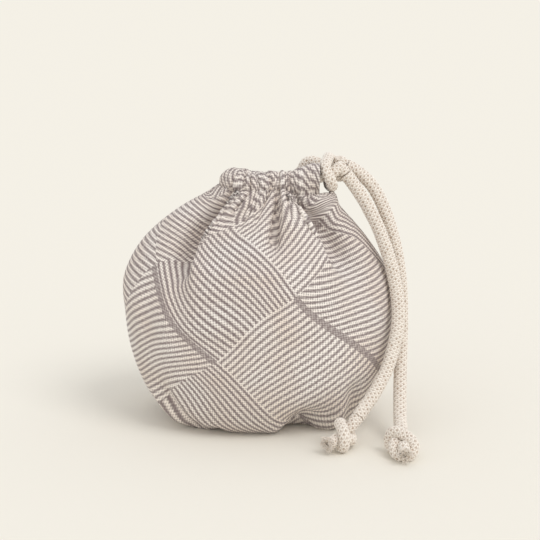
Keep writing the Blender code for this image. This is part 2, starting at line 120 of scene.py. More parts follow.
# Knots, as the part draws them up
KNOT_MIDDLE = np.array((31.6, 1.0, 109.4)) * MM
KNOT_STEP = 1.9 * MM
KNOT_GAP = 4.9 * MM
KNOT_SQUEEZE = 0.84
KNOT_REACH = 11 * MM
KNOT_LOOSE_LENGTH = 0.9 * MM
KNOT_LOOSE_LOOP = 3.7 * MM
KNOT_ROUNDS = 500
STOPPER_REACH = 6 * MM
STOPPER_LOOSE_LENGTH = 0.62 * MM
STOPPER_LOOSE_LOOP = 3 * MM
STOPPER_ROUNDS = 900
STOPPER_GAP = 4.25 * MM
STOPPER_SQUEEZE = 0.84
STOPPER_LEAD = 12.5 * MM
STOPPER_END = 7 * MM
STOPPER_HEIGHT = 5 * MM
STOPPER_LOWEST = 1.8 * MM

# Cord routes from the mouth outwards, the part's own points, and the steps along them
ROUTE_STEP = 9 * MM
TAIL_STEP = 4 * MM
LOOP_STEP = 2 * MM
BACK_STRAND_RISE = np.array((
    (17.4, 8.6, 105.9), (19.2, 8.9, 108.6), (20.6, 8.6, 111.6), (23.0, 7.6, 112.9),
    (26.0, 6.0, 112.2),
)) * MM
UPPER_TAIL = np.array((
    (38.4, 4.6, 111.4), (43.8, 4.0, 108.2), (49.0, 2.8, 103.2), (53.6, 1.0, 95.4),
    (57.4, -1.2, 85.0), (60.4, -3.4, 73.0), (62.1, -6.0, 59.5), (62.4, -10.0, 45.5),
    (61.8, -15.6, 33.5), (61.0, -22.8, 22.8), (60.4, -30.0, 13.8), (60.0, -36.0, 9.2),
    (59.9, -40.4, 7.0), (59.8, -44.4, 6.0),
)) * MM
LOWER_TAIL = np.array((
    (37.6, -1.8, 108.6), (41.2, -2.0, 103.8), (44.8, -2.8, 98.6), (48.2, -4.2, 92.6),
    (52.3, -6.7, 84.4), (57.4, -10.6, 69.4), (60.0, -14.8, 54.4), (59.4, -20.0, 43.0),
    (55.3, -26.5, 29.8), (52.1, -30.0, 24.3), (48.5, -34.0, 19.0), (44.9, -37.5, 15.3),
    (41.8, -40.5, 11.9),
)) * MM


def linear(hex_colour):
    """An sRGB hex colour as the linear colour that shaders take."""
    parts = [int(hex_colour[k:k + 2], 16) / 255 for k in (1, 3, 5)]
    return [c / 12.92 if c <= 0.04045 else ((c + 0.055) / 1.055) ** 2.4 for c in parts] + [1]


def smooth(x):
    x = np.clip(x, 0, 1)
    return x * x * (3 - 2 * x)


def through(points, place):
    """Points at place, from 0 to 1, on the smooth curve through points."""
    points = np.asarray(points, float)
    last = len(points) - 1
    place = np.asarray(place, float)
    k = np.clip((place * last).astype(int), 0, last - 1)
    u = (place * last - k)[..., None]
    a, b = points[np.maximum(k - 1, 0)], points[k]
    c, d = points[k + 1], points[np.minimum(k + 2, last)]
    return (
        b + 0.5 * u * (c - a)
        + u * u * (a - 2.5 * b + 2 * c - 0.5 * d)
        + u * u * u * (1.5 * (b - c) + 0.5 * (d - a))
    )


def arc_of(points):
    """Distance gone along a line at each of its points."""
    return np.concatenate([[0], np.cumsum(np.linalg.norm(np.diff(points, axis=0), axis=1))])


def spaced(points, step):
    """The same line with its points evenly spaced, about a step apart."""
    points = np.array(points)
    arc = arc_of(points)
    count = max(2, round(arc[-1] / step)) + 1
    at = np.linspace(0, arc[-1], count)
    return np.stack([np.interp(at, arc, points[:, k]) for k in range(3)], axis=1)


def smooth_line(points, step):
    """A smooth line through the chosen points, evenly spaced."""
    return spaced(through(points, np.linspace(0, 1, 12 * len(points) + 1)), step)


# The filled pouch

def channel(side, u):
    """Middle of the hem's channel in plan, and its outward direction, at u from left to right."""
    exit_half = MOUTH_EXIT_HALF if side < 0 else MOUTH_BACK_HALF
    turn_length = MOUTH_BACK_HALF * math.pi / 2
    ease_length = MOUTH_STRAIGHT_X - MOUTH_TURN_X
    gone = np.asarray(u, float) * (turn_length + ease_length + FRONT_EXIT_X - MOUTH_STRAIGHT_X)
    angle = gone / MOUTH_BACK_HALF
    share = np.clip((gone - turn_length) / ease_length, 0, 1)
    slope = (exit_half - MOUTH_BACK_HALF) / ease_length * 6 * share * (1 - share)
    size = np.hypot(1, slope)
    turning = gone < turn_length
    out_x = np.where(turning, -np.cos(angle), -slope / size)
    out_y = np.where(turning, side * np.sin(angle), side / size)
    x = np.where(turning, MOUTH_TURN_X + MOUTH_BACK_HALF * out_x, MOUTH_TURN_X + gone - turn_length)
    straight_y = side * (MOUTH_BACK_HALF + (exit_half - MOUTH_BACK_HALF) * smooth(share))
    y = np.where(turning, MOUTH_BACK_HALF * out_y, straight_y) + side * SEAM_HALF
    return x, y, out_x, out_y


def hem_place(side, s, angle, radius):
    """Points on the cloth channel round the cord."""
    x, y, out_x, out_y = channel(side, s)
    past = smooth((s - BACK_EXIT_SHARE) / (1 - BACK_EXIT_SHARE)) if side > 0 else 0 * s
    reach = radius * np.cos(angle)
    height = HEM_HEIGHT + radius * np.sin(angle) - EXIT_DROP * past
    y = y + reach * out_y - MOUTH_EXIT_HALF * past
    return np.stack([x + reach * out_x, y, height], axis=-1)


def hem_start(s):
    """The angle round the channel where a panel meets it, further under where the cord leaves."""
    closed = smooth((s - HEM_CLOSING) / (1 - HEM_CLOSING))
    return HEM_START + (HEM_START_AT_EXIT - HEM_START) * closed


def body_place(side, s, t):
    """Points on a panel without its folds: s from left seam to right, t from bottom to hem."""
    at = np.array((0.0, 0.5, 1.0))
    ends = hem_place(side, at, hem_start(at), CHANNEL_RADIUS)
    left = [(-a * BODY_WIDTH / 2, b * NECK_HEIGHT) for a, b in LEFT_SEAM] + [tuple(ends[0, ::2])]
    right = [(a * BODY_WIDTH / 2, b * NECK_HEIGHT) for a, b in RIGHT_SEAM] + [tuple(ends[2, ::2])]
    shares = FRONT_MIDDLE if side < 0 else BACK_MIDDLE
    middle = [(a * BODY_DEPTH / 2, b * NECK_HEIGHT) for a, b in shares]
    middle.append((abs(ends[1, 1]), ends[1, 2]))
    left, right, middle = through(left, t), through(right, t), through(middle, t)
    turn = math.pi * s
    across = 0.5 - 0.5 * np.cos(turn)
    round_out = np.clip(np.sin(turn), 0, 1) ** ROUNDNESS
    x = left[..., 0] + (right[..., 0] - left[..., 0]) * across
    y = side * (SEAM_HALF + np.maximum(0, middle[..., 0]) * round_out)
    side_z = left[..., 1] + (right[..., 1] - left[..., 1]) * across
    z = side_z + (middle[..., 1] - side_z) * smooth(np.sin(turn))
    plain_end = np.stack([
        ends[0, 0] + (ends[2, 0] - ends[0, 0]) * across,
        side * (SEAM_HALF + abs(ends[1, 1]) * round_out),
        ends[0, 2] + 0 * s,
    ], axis=-1)
    hem = hem_place(side, s, hem_start(s), CHANNEL_RADIUS) - plain_end
    blend = smooth((t - HEM_BLEND) / (1 - HEM_BLEND))[..., None]
    return np.stack([x, y, np.maximum(0, z)], axis=-1) + hem * blend


# Folds of each panel, left to right, each one a row of stations from where it starts up
# to the hem. A station is the share of the way across and up the unfolded panel, the turn
# of the cloth in degrees, and half the width of cloth in it in millimetres. In a pleat the
# cloth turns in and comes back out, and on a slope it only comes down or rises. In a lap
# it turns back under itself: the right side lies on top where the turn is above 0, the
# left side where it is below.
FRONT_FOLDS = (
    ("pleat", (0.03, 0.92, 0, 8), (0.035, 0.96, 45, 8), (0.04, 1.0, 75, 8)),
    ("pleat", (0.09, 0.92, 0, 8), (0.095, 0.96, 40, 8), (0.10, 1.0, 75, 9)),
    ("slope", (0.22, 0.68, 0, 14), (0.19, 0.78, -14, 14), (0.17, 0.85, -32, 13),
     (0.15, 0.90, -36, 11), (0.13, 0.94, -26, 8), (0.13, 0.97, 0, 5)),
    ("lap", (0.30, 0.66, 0, 16), (0.285, 0.76, 20, 12), (0.278, 0.81, 48, 6),
     (0.275, 0.84, 100, 4), (0.262, 0.875, 145, 5), (0.275, 0.91, 155, 6.5),
     (0.275, 0.94, 155, 5), (0.235, 0.97, 140, 3.5), (0.205, 1.0, 110, 3)),
    ("pleat", (0.32, 0.92, 0, 9), (0.295, 0.965, 65, 9), (0.272, 1.0, 85, 9)),
    ("pleat", (0.355, 0.93, 0, 9), (0.345, 0.965, 65, 9), (0.335, 1.0, 85, 9)),
    ("pleat", (0.385, 0.90, 0, 9), (0.39, 0.94, 62, 9), (0.395, 0.97, 75, 9), (0.40, 1.0, 85, 9)),
    ("pleat", (0.46, 0.92, 0, 9), (0.465, 0.965, 65, 9), (0.465, 1.0, 85, 9)),
    ("pleat", (0.51, 0.935, 0, 9), (0.518, 0.97, 70, 9), (0.522, 1.0, 85, 9)),
    ("pleat", (0.575, 0.87, 0, 12), (0.57, 0.90, 50, 11), (0.562, 0.925, 82, 9),
     (0.562, 0.95, 90, 7), (0.578, 1.0, 90, 7)),
    ("lap", (0.76, 0.66, 0, 16), (0.785, 0.76, -20, 12), (0.77, 0.81, -48, 6),
     (0.752, 0.84, -100, 4), (0.742, 0.875, -145, 5), (0.73, 0.91, -155, 5),
     (0.695, 0.94, -155, 4.5), (0.675, 0.97, -140, 3.5), (0.655, 1.0, -110, 3)),
    ("pleat", (0.79, 0.95, 0, 9), (0.77, 0.975, 60, 9), (0.745, 1.0, 82, 9)),
    ("slope", (0.83, 0.68, 0, 14), (0.86, 0.78, 10, 14), (0.865, 0.85, 20, 12),
     (0.86, 0.90, 22, 10), (0.84, 0.94, 18, 7), (0.80, 0.97, 0, 4)),
    ("pleat", (0.87, 0.95, 0, 9), (0.86, 0.975, 40, 9), (0.84, 1.0, 60, 9)),
    ("pleat", (0.94, 0.95, 0, 8), (0.94, 0.975, 40, 8), (0.94, 1.0, 60, 8)),
)
BACK_FOLDS = (
    ("pleat", (0.05, 0.915, 0, 9), (0.05, 0.965, 65, 9), (0.05, 1.0, 85, 9)),
    ("pleat", (0.12, 0.86, 0, 9), (0.12, 0.95, 80, 9), (0.12, 1.0, 85, 9)),
    ("pleat", (0.19, 0.92, 0, 9), (0.19, 0.96, 65, 9), (0.19, 1.0, 85, 9)),
    ("slope", (0.28, 0.68, 0, 14), (0.27, 0.79, -16, 14), (0.255, 0.86, -32, 13),
     (0.22, 0.91, -34, 9), (0.20, 0.95, 0, 5)),
    ("lap", (0.38, 0.66, 0, 16), (0.37, 0.77, 18, 11), (0.36, 0.82, 50, 6), (0.355, 0.85, 110, 4),
     (0.35, 0.90, 150, 5), (0.335, 0.95, 145, 4), (0.32, 1.0, 105, 3)),
    ("pleat", (0.40, 0.92, 0, 9), (0.39, 0.965, 65, 9), (0.385, 1.0, 85, 9)),
    ("pleat", (0.455, 0.84, 0, 12), (0.455, 0.90, 55, 11), (0.45, 0.95, 95, 8), (0.45, 1.0, 85, 8)),
    ("pleat", (0.515, 0.92, 0, 9), (0.515, 0.965, 65, 9), (0.515, 1.0, 85, 9)),
    ("pleat", (0.575, 0.915, 0, 9), (0.575, 0.965, 65, 9), (0.575, 1.0, 85, 9)),
    ("lap", (0.66, 0.66, 0, 16), (0.665, 0.77, -18, 11), (0.67, 0.82, -50, 6),
     (0.67, 0.85, -110, 4), (0.665, 0.90, -150, 5), (0.655, 0.95, -145, 4), (0.64, 1.0, -105, 3)),
    ("slope", (0.74, 0.68, 0, 14), (0.76, 0.79, 16, 14), (0.775, 0.86, 32, 13),
     (0.79, 0.91, 34, 9), (0.76, 0.95, 0, 5)),
    ("pleat", (0.72, 0.92, 0, 9), (0.715, 0.965, 65, 9), (0.71, 1.0, 85, 9)),
    ("pleat", (0.79, 0.92, 0, 9), (0.785, 0.965, 65, 9), (0.78, 1.0, 85, 9)),
    ("pleat", (0.86, 0.88, 0, 9), (0.85, 0.95, 75, 9), (0.85, 1.0, 85, 9)),
    ("pleat", (0.93, 0.915, 0, 9), (0.925, 0.965, 65, 9), (0.925, 1.0, 85, 9)),
)
LAP_TURN = 2.2 * MM
PLEAT_EDGE = 0.5 * MM
FOLD_ROUNDS = 40
DEEPEST_AT_HEM = -0.5 * MM
EVEN_AT_HEM = 0.7
HEM_FULLNESS = 0.5

# The hem's fine gathers: how many to a panel, how deep, and the height share where they start
GATHERS = 27
GATHER_DEPTH = 2.1 * MM
GATHERS_FROM = 0.90
FRONT_SLITS = (0.25, 0.30, 0.36, 0.455, 0.595, 0.65, 0.70)
SLIT_HALF = 0.013
SLIT_DEPTH = 3.2 * MM
BACK_SAG = 3.2 * MM

# Loose cloth over the cord: where it swells across the front hem, how far, and half its width
FRONT_SWELLS = ((0.10, 1.6 * MM, 0.05), (0.50, 0.8 * MM, 0.03), (0.86, 1.8 * MM, 0.11))
NECK_SWELL = 3.0 * MM
NECK_LIFT = 2.8 * MM
EXIT_LIFT = 2.8 * MM

# Where the front strand rises with the lifted hem and comes down again, from the exit in X
LIFT_STARTS = -8.4 * MM
LIFT_RISE = 7 * MM
LIFT_ENDS = 4.5 * MM
LIFT_FALL = 5 * MM


def fold_stations(folds, rows_t):
    """For each row and fold: the share across, the turn in radians and half the width."""
    found = []
    for _, *stations in folds:
        at = np.array([station[1] for station in stations])
        track = np.stack([np.interp(rows_t, at, [station[k] for station in stations])
                          for k in (0, 2, 3)])
        for _ in range(6):
            track[:, 1:-1] += 0.25 * (track[:, :-2] + track[:, 2:] - 2 * track[:, 1:-1])
        found.append(track)
    found = np.array(found)
    return found[:, 0].T, np.radians(found[:, 1]).T, found[:, 2].T * MM


def turned_row(kinds, flat, centres, turns, widths):
    """The cloth's direction at each point of a row, as the sum of what each fold turns it."""
    total = np.zeros(len(flat))
    firm = [k for k, kind in enumerate(kinds) if kind != "slope" and abs(turns[k]) > 0.02]
    for k, kind in enumerate(kinds):
        gone = flat - centres[k]
        if kind == "lap":
            near = widths[k] - abs(gone)
            total += turns[k] * smooth(near / max(LAP_TURN, widths[k] * (1 - abs(turns[k]) / 2)))
            continue
        if kind == "slope":
            total += turns[k] * smooth(1 - abs(gone) / widths[k])
            continue
        room = [widths[k], widths[k]]
        if k in firm:
            at = firm.index(k)
            for way, other in ((0, at - 1), (1, at + 1)):
                if 0 <= other < len(firm):
                    apart = abs(centres[firm[other]] - centres[k])
                    is_lap = kinds[firm[other]] == "lap"
                    free = apart - widths[firm[other]] if is_lap else 0.5 * apart
                    room[way] = min(widths[k], max(free, 0.5 * MM))
        near = np.clip(1 - np.where(gone < 0, -gone / room[0], gone / room[1]), 0, 1)
        total += turns[k] * np.tanh(gone / PLEAT_EDGE) * near
    return total


def folded_row(kinds, goals, turns, widths, length, start):
    """One row with its folds: flat distances, way along and height."""
    share = np.linspace(0, 1, COLUMNS + 1)
    flat_length = start
    centres = goals * start / length
    for _ in range(FOLD_ROUNDS):
        flat = flat_length * share
        angle = turned_row(kinds, flat, centres, turns, widths)
        angle = 0.5 * (angle[1:] + angle[:-1])
        step = flat_length / COLUMNS
        gone = np.concatenate([[0], np.cumsum(np.cos(angle) * step)])
        rise = np.concatenate([[0], np.cumsum(np.sin(angle) * step)])
        flat_length += length - gone[-1]
        centres += 0.7 * (goals - np.interp(centres, flat, gone))
        centres = np.maximum.accumulate(centres)
    rise -= share * rise[-1]
    return flat, gone * length / gone[-1], rise, centres


def level_at_hem(kinds, flat, rise, centres, turns, widths, weight):
    """Brings the bottoms of a row's folds to one level, by weight."""
    at, level = [0], [0]
    for k, kind in enumerate(kinds):
        if kind == "slope" or abs(turns[k]) < 0.02:
            continue
        low = centres[k] - np.sign(turns[k]) * widths[k] if kind == "lap" else centres[k]
        at.append(low)
        level.append(np.interp(low, flat, rise) - DEEPEST_AT_HEM)
    order = np.argsort(at)
    at, level = list(np.array(at)[order]) + [flat[-1]], list(np.array(level)[order]) + [0]
    return rise - weight * np.interp(flat, at, level)


def outward(places, side):
    """The direction out of the pouch at each point of a panel's grid."""
    out = -side * np.cross(np.gradient(places, axis=1), np.gradient(places, axis=0))
    return out / np.maximum(np.linalg.norm(out, axis=2), 1e-12)[..., None]


def folded_rows(side, folds, rows_t):
    """A panel's rows with their folds: places, shares across, rises and the flat map.

    The direction of the cloth along a row turns at each fold, and the sum of its small
    steps gives the way along and the height, so a row keeps its length in its folds.
    """
    kinds = [kind for kind, *_ in folds]
    fine = np.linspace(0, 1, 601)
    base = body_place(side, fine[None, :] + 0 * rows_t[:, None], rows_t[:, None] + 0 * fine)
    out = outward(base, side)
    below = np.linalg.norm(np.diff(base, axis=0), axis=2)
    below = np.concatenate([np.cumsum(below[::-1], axis=0)[::-1], np.zeros((1, len(fine)))])
    places_s, turns, widths = fold_stations(folds, rows_t)
    columns = np.linspace(0, 1, COLUMNS + 1)
    places, shares, rises, flat_map = [], [], [], []
    for r, t in enumerate(rows_t):
        arc = arc_of(base[r])
        goals = np.interp(places_s[r], fine, arc)
        start = arc[-1] + smooth((t - 0.88) / 0.06) * max(0, HALF_GIRTH - arc[-1])
        flat, gone, rise, centres = folded_row(kinds, goals, turns[r], widths[r], arc[-1], start)
        even = EVEN_AT_HEM * smooth((t - 0.91) / 0.08)
        spread = (1 - even) * flat / flat[-1] + even * np.maximum.accumulate(gone) / gone[-1]
        flat, gone, rise = (np.interp(columns, spread, way) for way in (flat, gone, rise))
        bent = flat[-1]
        flat *= 1 + smooth((t - 0.90) / 0.06) * (HALF_GIRTH / bent - 1)
        weight = smooth((t - 0.93) / 0.07)
        centres = centres * flat[-1] / bent
        rise = level_at_hem(kinds, flat, rise, centres, turns[r], widths[r], weight)
        rise *= 1 - (1 - HEM_FULLNESS) * smooth((t - 0.90) / 0.08)
        along = np.interp(gone, arc, fine)
        centre = np.interp(0.5, along, flat)
        shares.append(along)
        rises.append(rise)
        places.append(np.stack([
            np.interp(along, fine, base[r, :, k]) + np.interp(along, fine, out[r, :, k]) * rise
            for k in range(3)
        ], axis=1))
        up = FLAT_HEIGHT - np.interp(along, fine, below[r])
        flat_map.append(np.stack([flat - centre, up], axis=1))
    return np.array(places), np.array(shares), np.array(rises), np.array(flat_map)


# Smaller creases and swellings of each panel: a line of places, as shares across and up, how
# far they stand out at their deepest and half their width, both in millimetres
FRONT_CREASES = (
    (((0.590, 0.23), (0.608, 0.34), (0.615, 0.41)), -7.5, 8.5),
    (((0.535, 0.25), (0.54, 0.36)), 1.2, 4.0),
    (((0.665, 0.22), (0.690, 0.31), (0.715, 0.40)), 2.2, 6.5),
    (((0.725, 0.30), (0.742, 0.40), (0.735, 0.48)), -2.6, 4.5),
    (((0.235, 0.50), (0.268, 0.44), (0.325, 0.34), (0.35, 0.28)), -2.4, 3.6),
    (((0.215, 0.42), (0.25, 0.36), (0.30, 0.28)), 1.4, 4.0),
    (((0.40, 0.22), (0.385, 0.33)), -1.6, 4.0),
    (((0.413, 1.0), (0.388, 0.975), (0.392, 0.95), (0.375, 0.91)), -0.9, 1.6),
    (((0.562, 0.985), (0.558, 0.93), (0.566, 0.885)), -3.4, 4.5),
    (((0.745, 1.0), (0.775, 0.955), (0.81, 0.92), (0.825, 0.88), (0.84, 0.82),
     (0.85, 0.74)), -6.0, 8.0),
    (((0.185, 0.98), (0.19, 0.93), (0.205, 0.88), (0.22, 0.84), (0.24, 0.78)), -6.0, 6.5),
    (((0.23, 0.78), (0.255, 0.70), (0.30, 0.60)), 1.0, 5.0),
    (((0.17, 0.74), (0.19, 0.66), (0.22, 0.55)), -1.6, 6.0),
)
BACK_CREASES = (
    (((0.42, 0.24), (0.41, 0.38)), -3.5, 6.0),
    (((0.62, 0.25), (0.65, 0.40)), -2.5, 5.0),
    (((0.30, 0.28), (0.26, 0.44)), -2.0, 4.0),
)


# How far the front's weave is pulled askew: a place on the flat cloth and the pull there, in
# millimetres across and up
FRONT_PULLS = np.array((
    (-15.7, 66.7, -1.9, -2.7), (16.9, 96.0, -1.3, 1.2), (3.0, 45.5, 2.4, -5.0),
    (61.7, 63.7, -11.0, 0.3),
    (-50.7, 100.4, -0.1, -3.2), (-10.2, 119.9, -4.5, 5.5), (1.4, 114.5, -4.0, 2.0),
    (10.2, 108.3, -3.0, 0.3), (1.6, 84.8, -2.6, -4.2), (37.5, 80.6, -5.2, 0.0),
    (-46.9, 92.7, 2.7, -2.1), (-37.1, 84.0, 0.2, -0.7), (-29.7, 75.8, 0.5, -0.2),
    (-36.3, 55.8, -1.2, -8.5),
))
PULL_REACH = 21.0
PULL_FIRMNESS = 0.08


def pulled(flat):
    """The flat map with the pulls in it, each one fading with distance."""
    at, pull = FRONT_PULLS[:, :2], FRONT_PULLS[:, 2:]
    apart = ((at[:, None] - at) ** 2).sum(axis=2)
    near = np.exp(-apart / PULL_REACH ** 2)
    shares = np.linalg.solve(near + PULL_FIRMNESS * np.eye(len(at)), pull)
    moved = np.array(flat)
    for place, share in zip(at, shares):
        near = np.exp(-((flat / MM - place) ** 2).sum(axis=2) / PULL_REACH ** 2)
        moved += near[..., None] * share * MM
    return moved


def crease_height(creases, s, t):
    """How far the smaller creases make the cloth stand out, or lie in where it is below 0."""
    x, y = s * HALF_GIRTH / MM, t * FLAT_HEIGHT / MM
    height = np.zeros(np.shape(s))
    for line, depth, width in creases:
        points = np.array(line) * (HALF_GIRTH / MM, FLAT_HEIGHT / MM)
        points = through(points, np.linspace(0, 1, 24))
        share = np.linspace(0, 1, 24)
        fade = smooth(np.minimum(share, 1 - share) / 0.3)
        near = np.zeros(np.shape(s))
        for (px, py), full in zip(points, fade):
            far = ((x - px) ** 2 + (y - py) ** 2) / width ** 2
            near = np.maximum(near, full * np.exp(-far))
        height += depth * near
    return height * MM


def gathers(side, s, t):
    """The fine pleats where the cord gathers the cloth: rounded ridges with sharp slits between."""
    place = GATHERS * s + 0.45 * np.sin(21 * s + 1) + 0.2 * np.sin(47 * s)
    slit = 1.3 * abs(np.cos(math.pi * place)) ** 0.5 - 1
    strength = 0.6 + 0.4 * np.sin(33 * s + 0.4)
    height = GATHER_DEPTH * slit * strength
    for place in FRONT_SLITS if side < 0 else ():
        height -= SLIT_DEPTH * np.exp(-((s - place) / SLIT_HALF) ** 2)
    return height * smooth((t - GATHERS_FROM) / (1 - GATHERS_FROM))


def exit_lift(s):
    """How far the knot draws up the end of the hem where the cord leaves."""
    return EXIT_LIFT * smooth((s - 0.80) / 0.17)


def hem_lift(side, s):
    """How far the cloth channel stands above the level that it has in the part."""
    sag = BACK_SAG * np.sin(math.pi * np.clip(s, 0, 1)) ** 2 if side > 0 else 0
    return exit_lift(s) - sag


def make_panel(name, side):
    """One panel of cloth with its folds and its hem, as a fine grid bent into its filled shape."""
    folds = FRONT_FOLDS if side < 0 else BACK_FOLDS
    rows_t = np.linspace(0, 1, BODY_ROWS + 1)
    body, shares, rise, flat = folded_rows(side, folds, rows_t)
    creases = FRONT_CREASES if side < 0 else BACK_CREASES
    out = outward(body, side)
    body = body + out * crease_height(creases, shares, rows_t[:, None] + 0 * shares)[..., None]
    rows = rows_t[:, None] + 0 * shares
    body = body + out * gathers(side, shares, rows)[..., None]
    loose = np.exp(-((rows - 0.95) / 0.05) ** 2) * smooth((1 - rows) / 0.05)
    loose *= smooth((shares - 0.76) / 0.2)
    body[..., 0] += NECK_SWELL * loose
    body[..., 2] += NECK_LIFT * loose + exit_lift(shares) * smooth((rows - 0.88) / 0.12)
    body[..., 2] = np.maximum(body[..., 2], CLOTH)
    turn = np.arange(1, HEM_ROWS + 1) / HEM_ROWS
    start = hem_start(shares[-1])[None, :]
    angle = start + (HEM_END - start) * turn[:, None]
    radius = HEM_RADIUS + (CHANNEL_RADIUS - HEM_RADIUS) * (1 - smooth(turn / 0.3))[:, None]
    radius = radius + rise[-1][None, :] * (1 - 0.7 * smooth(turn / 0.5))[:, None]
    across = shares[-1][None, :] + 0 * angle
    radius = radius + gathers(side, across, 1) * (1 - 0.6 * smooth((turn - 0.3) / 0.4))[:, None]
    if side < 0:
        for middle, height, width in FRONT_SWELLS:
            near = np.exp(-((across - middle) / width) ** 2)
            radius += height * near * np.clip(np.sin(angle), 0, 1)
    hem = hem_place(side, across, angle, radius)
    lift, full_lift = exit_lift(across), hem_lift(side, across)
    hem[..., 2] += lift + (full_lift - lift) * smooth(turn / 0.4)[:, None]
    places = np.concatenate([body, hem])
    hem_flat = np.stack([flat[-1, :, 0] + 0 * angle,
                         flat[-1, :, 1] + (angle - start) * CHANNEL_RADIUS], axis=-1)
    whole = np.concatenate([flat, hem_flat])
    return bent_grid(name, places, pulled(whole) if side < 0 else whole, side < 0)


def bent_grid(name, places, flat, flip):
    """A grid of faces with its points at places, and flat as its UV map in millimetres."""
    rows, columns = places.shape[0] - 1, places.shape[1] - 1
    mesh = bmesh.new()
    bmesh.ops.create_grid(mesh, x_segments=columns, y_segments=rows, size=1)
    uv = mesh.loops.layers.uv.new("cloth")
    at = {}
    for vert in mesh.verts:
        column = round((vert.co.x + 1) / 2 * columns)
        row = round((vert.co.y + 1) / 2 * rows)
        at[vert.index] = (row, column)
        vert.co = places[row, column]
    for face in mesh.faces:
        for loop in face.loops:
            loop[uv].uv = flat[at[loop.vert.index]] / MM
    if flip:
        bmesh.ops.reverse_faces(mesh, faces=mesh.faces[:])
    data = bpy.data.meshes.new(name)
    mesh.to_mesh(data)
    mesh.free()
    data.shade_smooth()
    piece = bpy.data.objects.new(name, data)
    bpy.context.scene.collection.objects.link(piece)
    return piece


# Knots and cords

def loose_overhand(middle, length, loop, ahead, aside, above):
    """An overhand knot before it is drawn up, as a line through space."""
    t = np.linspace(-2, 2, 60)[:, None]
    along, across = t ** 5 - 10 * t, t ** 3 - 3 * t
    up = t ** 4 - 4 * t ** 2 + 1.7
    return middle + ahead * along * length + aside * across * loop + above * up * loop


def drawn_up(strands, pinned, gap, lowest, rounds):
    """Shorten lines that can't pass through each other until their knot is tight."""
    for _ in range(rounds):
        for k, line in enumerate(strands):
            first, last = pinned[k][0], len(line) - pinned[k][1]
            pull = 0.5 * (line[first - 1:last - 1] + line[first + 1:last + 1]) - line[first:last]
            line[first:last] += 0.3 * pull
        every = np.concatenate(strands)
        owner = np.repeat(np.arange(len(strands)), [len(line) for line in strands])
        order = np.concatenate([np.arange(len(line)) for line in strands])
        along = abs(order[:, None] - order) * KNOT_STEP
        close = (owner[:, None] == owner) & (along < 1.45 * gap)
        for _ in range(6):
            apart = every[:, None] - every
            far = np.linalg.norm(apart, axis=2) + np.eye(len(every)) * gap
            short = np.where(close, 0, np.maximum(0, gap - far))
            push = (apart / far[..., None] * short[..., None] * 0.5).sum(axis=1)
            every += push / np.sqrt(np.maximum(1, (short > 0).sum(axis=1)))[:, None]
            every[:, 2] = np.maximum(every[:, 2], lowest)
        start = 0
        for k, line in enumerate(strands):
            moved = every[start:start + len(line)]
            start += len(line)
            first, last = pinned[k][0], len(line) - pinned[k][1]
            free = np.concatenate([line[first - 1:first], moved[first:last], line[last:last + 1]])
            free = spaced(free, KNOT_STEP)
            strands[k] = np.concatenate([line[:first - 1], free, line[last + 1:]])
    return strands


def unit(v):
    return v / np.linalg.norm(v)


def mouth_knot():
    """Both strands from inside the hems, through the knot, to where their tails start."""
    front_y, back_y = channel(-1, 1.0)[1], channel(1, 1.0)[1]
    back_exit = channel(1, BACK_EXIT_SHARE)[0]
    front_lead = spaced([(FRONT_EXIT_X - HIDDEN_STRAND, front_y, HEM_HEIGHT),
                         (FRONT_EXIT_X + EXIT_LEAD, front_y, HEM_HEIGHT)], KNOT_STEP)
    back_lead = spaced([(back_exit - HIDDEN_STRAND, back_y, HEM_HEIGHT),
                        (back_exit, back_y, HEM_HEIGHT)], KNOT_STEP)
    rise = smooth_line([back_lead[-1], *BACK_STRAND_RISE], KNOT_STEP)[1:]
    back_lead = np.concatenate([back_lead, rise])
    ahead, aside, above = np.array((1, 0, 0)), np.array((0, 1, 0)), np.array((0, 0, 1))
    loose = loose_overhand(KNOT_MIDDLE, KNOT_LOOSE_LENGTH, KNOT_LOOSE_LOOP, ahead, aside, above)
    lower, upper = smooth_line(LOWER_TAIL, ROUTE_STEP), smooth_line(UPPER_TAIL, ROUTE_STEP)
    outs = []
    for tail in (lower, upper):
        ahead = unit(tail[1] - tail[0])
        outs.append(np.array([tail[0] - ahead * (END_GAP + k * KNOT_STEP) for k in (2, 1, 0)]))
    straight = spaced([front_lead[-1], KNOT_MIDDLE, outs[0][0]], KNOT_STEP)[1:-1]
    wrapped = spaced([back_lead[-1], *loose, outs[1][0]], KNOT_STEP)[1:-1]
    pinned = [(len(front_lead), 3), (len(back_lead), 3)]
    lines = [np.concatenate([front_lead, straight, outs[0]]),
             np.concatenate([back_lead, wrapped, outs[1]])]
    return drawn_up(lines, pinned, KNOT_GAP, 0, KNOT_ROUNDS)


def stopper_knot(tail):
    """The stopper knot that ends a tail, drawn up on the floor."""
    start, ahead = tail[-1], unit(tail[-1] - tail[-2])
    middle = start + ahead * STOPPER_LEAD
    middle[2] = STOPPER_HEIGHT
    level = unit(ahead * (1, 1, 0))
    above = np.array((0, 0, 1))
    aside = np.cross(above, level)
    loose = loose_overhand(middle, STOPPER_LOOSE_LENGTH, STOPPER_LOOSE_LOOP, level, aside, above)
    lead = np.array([start + ahead * (END_GAP + k * KNOT_STEP) for k in range(4)])
    out = np.array([middle + level * (STOPPER_END - k * KNOT_STEP) for k in (1, 0)])
    line = np.concatenate([lead, spaced([lead[-1], *loose, out[0]], KNOT_STEP)[1:-1], out])
    line = drawn_up([line], [(4, 2)], STOPPER_GAP, STOPPER_LOWEST, STOPPER_ROUNDS)[0]
    return line, middle


